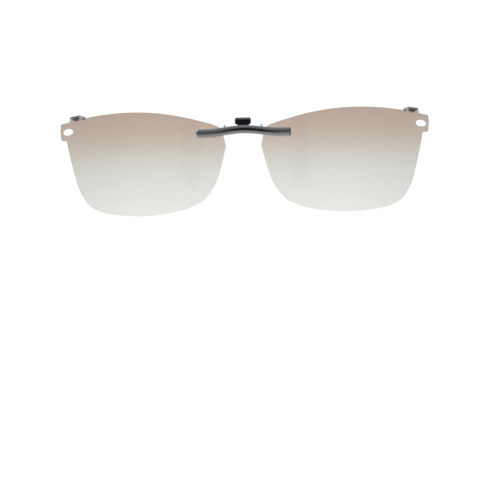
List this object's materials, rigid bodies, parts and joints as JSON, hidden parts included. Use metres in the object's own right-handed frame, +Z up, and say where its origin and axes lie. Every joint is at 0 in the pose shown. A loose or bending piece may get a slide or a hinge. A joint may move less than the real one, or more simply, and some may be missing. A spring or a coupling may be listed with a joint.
{
  "type": "clip-on sunglasses",
  "caption": "Clip-on sunglass front: two rimless gradient lenses on a spring bridge bar with a rubber-covered centre hook and two corner claws.",
  "frame": {"origin": "middle of the centre hook's seat, the downward face that rests on the frame's bridge", "axes": "+X to the right seen from the front, +Y backwards to the wearer, +Z up"},
  "size_m": [0.143, 0.0156, 0.04],
  "materials": {
    "lens": "polished, brown tint that fades towards the bottom",
    "gunmetal": "satin dark plating",
    "steel": "satin",
    "spring_steel": "drawn wire",
    "black_rubber": "moulded, slightly glossy",
    "dark_plastic": "moulded",
    "nylon": "natural",
    "clear_silicone": "clear, soft"
  },
  "bodies": {
    "bridge": {"bridge_cover": "gunmetal", "end_plug": "dark_plastic", "bridge_plate": "steel", "cover_screw": "steel", "center_hook": "gunmetal", "hook_rivets": "steel", "hook_sleeve": "black_rubber", "prong_left": "steel", "prong_right": "steel", "prong_tip_left": "clear_silicone", "prong_tip_right": "clear_silicone", "spring_left": "spring_steel", "spring_right": "spring_steel"},
    "left_lens": {"lens_left": "lens", "slide_left": "steel", "rod_collar_left": "steel", "lens_bushes_left": "nylon", "lens_washers_left": "nylon", "lens_nuts_left": "steel", "claw_left": "gunmetal", "claw_tip_left": "clear_silicone"},
    "right_lens": {"lens_right": "lens", "slide_right": "steel", "rod_collar_right": "steel", "lens_bushes_right": "nylon", "lens_washers_right": "nylon", "lens_nuts_right": "steel", "claw_right": "gunmetal", "claw_tip_right": "clear_silicone"}
  },
  "joints": [
    {"name": "left_pull", "type": "slide", "parent": "bridge", "child": "left_lens", "axis": [-1, 0, 0], "range_m": [0, 0.003], "stiffness_N_per_m": 600, "springref_m": -0.002, "deforming": ["spring_left"]},
    {"name": "right_pull", "type": "slide", "parent": "bridge", "child": "right_lens", "axis": [1, 0, 0], "range_m": [0, 0.003], "stiffness_N_per_m": 600, "springref_m": -0.002, "deforming": ["spring_right"]}
  ]
}
